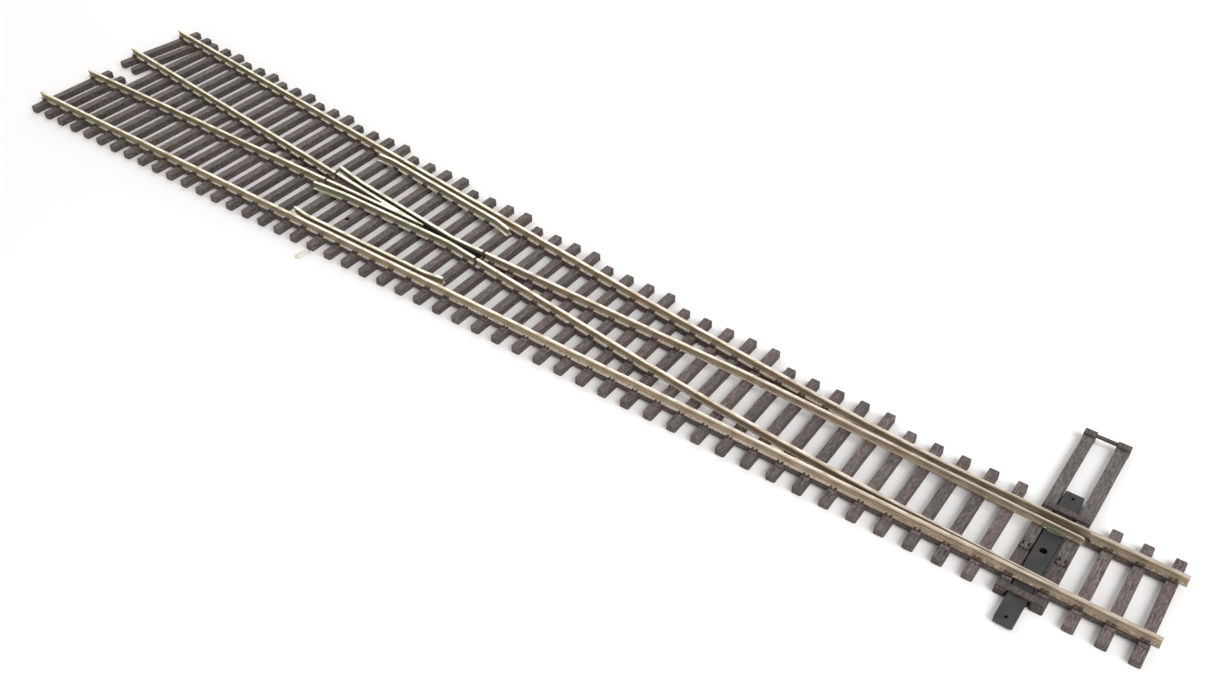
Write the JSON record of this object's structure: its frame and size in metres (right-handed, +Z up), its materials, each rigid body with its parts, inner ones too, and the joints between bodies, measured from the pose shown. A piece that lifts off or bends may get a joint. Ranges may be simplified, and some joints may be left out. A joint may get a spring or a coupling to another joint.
{
  "type": "model railway turnout",
  "caption": "Right-hand model railway turnout: moving points on a sliding throw bar, frog, guard rails and long headblock ties on a moulded tie base.",
  "frame": {"origin": "on the straight track's centre line, 1.85 mm past the point tips and within the first headblock tie, on the surface the ties rest on", "axes": "+X along the straight track from the points to the frog, +Y to the left, +Z up; the diverging track leaves towards -Y"},
  "size_m": [0.3439, 0.0694, 0.0042],
  "materials": {
    "rail_metal": "drawn nickel silver, bright head, lightly stained sides",
    "tie_plastic": "matte moulded wood grain",
    "bar_plastic": "smooth matte",
    "filler_plastic": "matte",
    "clip_metal": "tinned sheet metal",
    "wire_metal": "tinned copper wire"
  },
  "bodies": {
    "track": {"tie_strip": "tie_plastic", "headblock_long": "tie_plastic", "stock_rail_left": "rail_metal", "stock_rail_right": "rail_metal", "closure_rail_left": "rail_metal", "closure_rail_right": "rail_metal", "wing_rail_left": "rail_metal", "wing_rail_right": "rail_metal", "frog_point": "rail_metal", "frog_filler": "filler_plastic", "exit_rail_straight": "rail_metal", "exit_rail_diverging": "rail_metal", "guard_rail_left": "rail_metal", "guard_rail_right": "rail_metal", "gap_insulators": "filler_plastic", "jumper_toe_left": "wire_metal", "jumper_toe_right": "wire_metal", "jumper_heel_left": "wire_metal", "jumper_heel_right": "wire_metal", "frog_feeder_wire": "wire_metal"},
    "throw_bar": {"throw_bar": "bar_plastic"},
    "point_left": {"point_rail_left": "rail_metal", "point_clip_left": "clip_metal", "pivot_pin_left": "clip_metal"},
    "point_right": {"point_rail_right": "rail_metal", "point_clip_right": "clip_metal", "pivot_pin_right": "clip_metal"}
  },
  "joints": [
    {"name": "throw_bar_slide", "type": "slide", "parent": "track", "child": "throw_bar", "axis": [0, -1, 0], "range_m": [0, 0.00203]},
    {"name": "point_left_swing", "type": "hinge", "parent": "track", "child": "point_left", "pos_m": [0.078, 0.00403, 0.00305], "axis": [0, 0, 1], "range_deg": [0, 1.58]},
    {"name": "point_right_swing", "type": "hinge", "parent": "track", "child": "point_right", "pos_m": [0.078, -0.0087, 0.00305], "axis": [0, 0, 1], "range_deg": [0, 1.58]}
  ],
  "couplings": [
    {"joint": "point_left_swing", "follows": "throw_bar_slide", "rad_per_m": 13.543},
    {"joint": "point_right_swing", "follows": "throw_bar_slide", "rad_per_m": 13.543}
  ]
}
